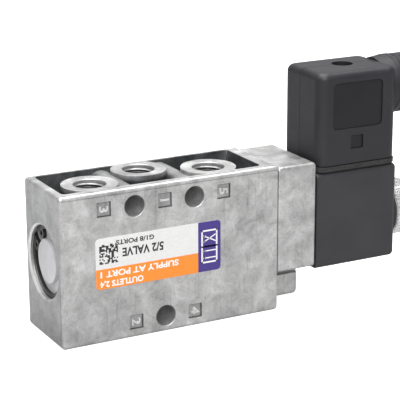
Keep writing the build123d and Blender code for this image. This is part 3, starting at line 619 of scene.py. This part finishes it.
def label_words(ink_y, low_x, high_z, band_z):
    """Two black lines on the white field and two white ones on the orange band."""
    # Each line: its text, its middle from the label's left edge and from the top of its field,
    # its letters' height, its ink and how far it is stretched sideways.
    lines = (
        ("G1/8 PORTS", 12.6 * MM, high_z - 1.9 * MM, 1.35 * MM, BLACK_INK, 1.2),
        ("5/2 VALVE", 15.1 * MM, high_z - 5.1 * MM, 2.45 * MM, BLACK_INK, 0.86),
        ("SUPPLY AT PORT 1", 14.0 * MM, band_z - 1.7 * MM, 1.75 * MM, WHITE_INK, 1.22),
        ("OUTLETS 2,4", 8.2 * MM, band_z - 4.5 * MM, 1.7 * MM, WHITE_INK, 1.0),
    )
    for number, (text, from_left, z, height, ink, stretch) in enumerate(lines, start=1):
        lettering(f"label_word_{number}", text, (low_x + from_left, ink_y, z), height, INK, ink,
                  stretch, turn=0.0, bold=height * 0.045)


def data_grid(face_y, grid_x, grid_z, count=14, cell=0.42 * MM):
    """A square of random cells, about half of them black, which holds no data."""
    random.seed(7)
    squares = []
    for column in range(count):
        for row in range(count):
            if random.random() < 0.5:
                x, z = grid_x + column * cell, grid_z + row * cell
                squares.append([(x, z), (x + cell, z), (x + cell, z + cell), (x, z + cell)])
    plate("label_data_grid", squares, face_y, INK, BLACK_INK)


def stroke(start, end, width):
    """A straight line of some width, as an outline in the XZ plane, anticlockwise."""
    start, end = Vector(start), Vector(end)
    along = (end - start).normalized() * width / 2
    left = Vector((-along.y, along.x))
    corners = (start - along - left, end + along - left, end + along + left, start - along + left)
    return [tuple(corner) for corner in corners]


def valve_symbol(x, z, y):
    """Two squares with flow arrows, one above the other, which is the drawing sign of a valve."""
    width = 0.5 * MM
    half = 2.45 * MM               # of a square's side
    lines = []
    for middle in (z - half, z + half):
        corners = [(x - half, middle - half), (x + half, middle - half),
                   (x + half, middle + half), (x - half, middle + half)]
        for number in range(4):
            lines.append(stroke(corners[number], corners[(number + 1) % 4], width))

    tail_x, tip_x = x + half - 0.25 * MM, x - half + 0.25 * MM
    apart = 1.1 * MM               # from a square's middle to an arrow's end
    arrows = (
        ((tail_x, z - half - apart), (tip_x, z - half - apart)),
        ((tail_x, z - half + apart), (tip_x, z - half + apart)),
        ((tail_x, z + half - apart), (tip_x, z + half + apart)),
        ((tail_x, z + half + apart), (tip_x, z + half - apart)),
    )
    head_length = 0.992 * MM
    for start, end in arrows:
        lines.append(stroke(start, end, width * 0.7))
        tip = Vector(end)
        back = (Vector(start) - tip).normalized() * head_length
        side = Vector((-back.y, back.x)) * 0.35
        lines.append([tuple(tip), tuple(tip + back - side), tuple(tip + back + side)])
    plate("label_valve_symbol", lines, y, INK, WHITE_INK)


# ---- polished mouth of the end bore ----
def end_bore_rim(steps=96):
    """The machined chamfer round the end bore, a hair above the casting's own."""
    plug_low, plug_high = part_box("end_plug")
    axis_y, axis_z = (plug_low[1] + plug_high[1]) / 2, (plug_low[2] + plug_high[2]) / 2
    bore_r = (plug_high[1] - plug_low[1]) / 2 + 0.05 * MM
    chamfer, lift = 0.55 * MM, 0.03 * MM
    section = ((0.0, bore_r + chamfer), (lift, bore_r + chamfer - lift * 2.5),
               (chamfer, bore_r - lift), (chamfer, bore_r))
    points, faces = [], []
    for step in range(steps):
        angle = 2 * math.pi * step / steps
        for depth, radius in section:
            points.append((BODY_LOW.x + depth, axis_y + radius * math.cos(angle),
                           axis_z + radius * math.sin(angle)))
    size = len(section)
    for step in range(steps):
        here, there = step * size, (step + 1) % steps * size
        for corner in range(size):
            after = (corner + 1) % size
            faces.append((here + corner, here + after, there + after, there + corner))
    add_piece("end_bore_rim", points, faces, DIGIT_METAL)


# ---- smooth panels in the connector's front face ----
WINDOW_X, WINDOW_Z = (58.1 * MM, 75.6 * MM), (54.1 * MM, 68.1 * MM)
SQUARE_X, SQUARE_Z = (64.7 * MM, 68.8 * MM), (47.6 * MM, 51.4 * MM)
PANEL_THICKNESS = 0.12 * MM


def connector_panels():
    """Thin glossy plates on the floors of the window and of the small square below it."""
    face_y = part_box("connector_front_shell")[0][1]
    panels = (("connector_window_panel", WINDOW_X, WINDOW_Z, 0.5 * MM, 1.3 * MM),
              ("connector_square_panel", SQUARE_X, SQUARE_Z, 0.6 * MM, 0.1 * MM))
    for name, (left, right), (bottom, top), depth, corner in panels:
        outline = rounded_outline((left, bottom), (right, top), [corner] * 4)
        plate(name, [outline], face_y + depth, PANEL_THICKNESS, PANEL_PLASTIC)


stud_thread()
label_print()
end_bore_rim()
connector_panels()


# ---- smooth shading of the round CAD faces ----
SHARP_ANGLE = math.radians(32)   # edges that turn by more stay sharp


def shade_by_angle():
    for node_object in NODES.values():
        for polygon in node_object.data.polygons:
            polygon.use_smooth = True
        modifier = node_object.modifiers.new("normals", "EDGE_SPLIT")
        modifier.split_angle = SHARP_ANGLE


# ---- springs ----
def squash_springs():
    """Gives each spring that a joint deforms its own copy of its mesh."""
    for joint in frame["record"]["behaviour"]["joints"]:
        for deforming in joint["deforming_nodes"]:
            letter = deforming["mode"][-1]       # the mode is scale_x or scale_z
            along = "xyz".index(letter)
            low, high = (Vector(corner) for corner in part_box(deforming["node"]))
            axis = Vector((0, 0, 0))
            axis[along] = 1
            anchor = (low + high) / 2
            anchor[along] = deforming[f"fixed_end_{letter}_m"]
            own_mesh(NODES[deforming["node"]])


# ---- floor, lights and camera ----
FLOOR_GLOW = 0.05              # the light that the floor gives; it shows white
WORLD_LIGHT = 0.34             # the light that the surroundings give; they show white
FLOOR_HALF = 6.0
MIDDLE = (0.03, 0.0, 0.03)     # the lights point here
LIGHTS = (
    # name, place, power in watts, width and height
    ("key", (-0.30, -0.80, 0.70), 8.7, (0.6, 0.6)),
    ("top", (0.0, 0.05, 0.9), 15.0, (1.1, 0.8)),
    ("left", (-0.8, 0.05, 0.65), 0.4, (0.4, 0.4)),
    ("back", (0.55, 0.97, 0.40), 0.9, (1.2, 0.6)),
)


def make_floor():
    """A plain pale floor, which lights the object less than it shows."""
    material, tree, shader = new_material("floor", grey(0.4), roughness=0.9)
    shader.inputs["Emission Color"].default_value = (1.0, 1.0, 1.0, 1.0)
    path = tree.nodes.new("ShaderNodeLightPath")
    tree.links.new(span(tree, path.outputs["Is Camera Ray"], FLOOR_GLOW, 1.0, 0.0, 1.0),
                   shader.inputs["Emission Strength"])
    tint = noise(tree, 3, detail=2)
    tree.links.new(ramp(tree, tint, (0.2, grey(0.39)), (0.8, grey(0.41))), shader.inputs["Base Color"])
    mesh = bpy.data.meshes.new("floor")
    corners = [(-FLOOR_HALF, -FLOOR_HALF, 0), (FLOOR_HALF, -FLOOR_HALF, 0),
               (FLOOR_HALF, FLOOR_HALF, 0), (-FLOOR_HALF, FLOOR_HALF, 0)]
    mesh.from_pydata(corners, [], [(0, 1, 2, 3)])
    mesh.materials.append(material)
    floor = bpy.data.objects.new("floor", mesh)
    bpy.context.scene.collection.objects.link(floor)


def make_world():
    """White surroundings that light the object less than they show."""
    world = bpy.data.worlds.new("studio")
    world.use_nodes = True
    tree = world.node_tree
    tree.nodes.clear()
    output = tree.nodes.new("ShaderNodeOutputWorld")
    mixer = tree.nodes.new("ShaderNodeMixShader")
    path = tree.nodes.new("ShaderNodeLightPath")
    lights = tree.nodes.new("ShaderNodeBackground")
    shows = tree.nodes.new("ShaderNodeBackground")
    lights.inputs["Strength"].default_value = WORLD_LIGHT
    shows.inputs["Strength"].default_value = 1.0
    for background in (lights, shows):
        background.inputs["Color"].default_value = (1.0, 1.0, 1.0, 1.0)
    tree.links.new(path.outputs["Is Camera Ray"], mixer.inputs["Fac"])
    tree.links.new(lights.outputs["Background"], mixer.inputs[1])
    tree.links.new(shows.outputs["Background"], mixer.inputs[2])
    tree.links.new(mixer.outputs["Shader"], output.inputs["Surface"])
    bpy.context.scene.world = world


def add_light(name, place, power, size):
    """A soft rectangular light that points at the object's middle."""
    light = bpy.data.lights.new(name, "AREA")
    light.shape = "RECTANGLE"
    light.size, light.size_y = size
    light.energy = power
    holder = bpy.data.objects.new(name, light)
    holder.location = place
    holder.rotation_euler = (Vector(MIDDLE) - Vector(place)).to_track_quat("-Z", "Y").to_euler()
    bpy.context.scene.collection.objects.link(holder)


def make_camera():
    camera = bpy.data.cameras.new("camera")
    camera.lens = CAMERA_LENS
    camera.sensor_width = 36.0
    camera.clip_start = 0.01
    holder = bpy.data.objects.new("camera", camera)
    holder.location = CAMERA_PLACE
    holder.rotation_euler = [math.radians(angle) for angle in CAMERA_TURN]
    bpy.context.scene.collection.objects.link(holder)
    bpy.context.scene.camera = holder


shade_by_angle()
make_floor()
make_world()
for light_values in LIGHTS:
    add_light(*light_values)
make_camera()
bpy.context.scene.view_settings.view_transform = "Standard"
squash_springs()
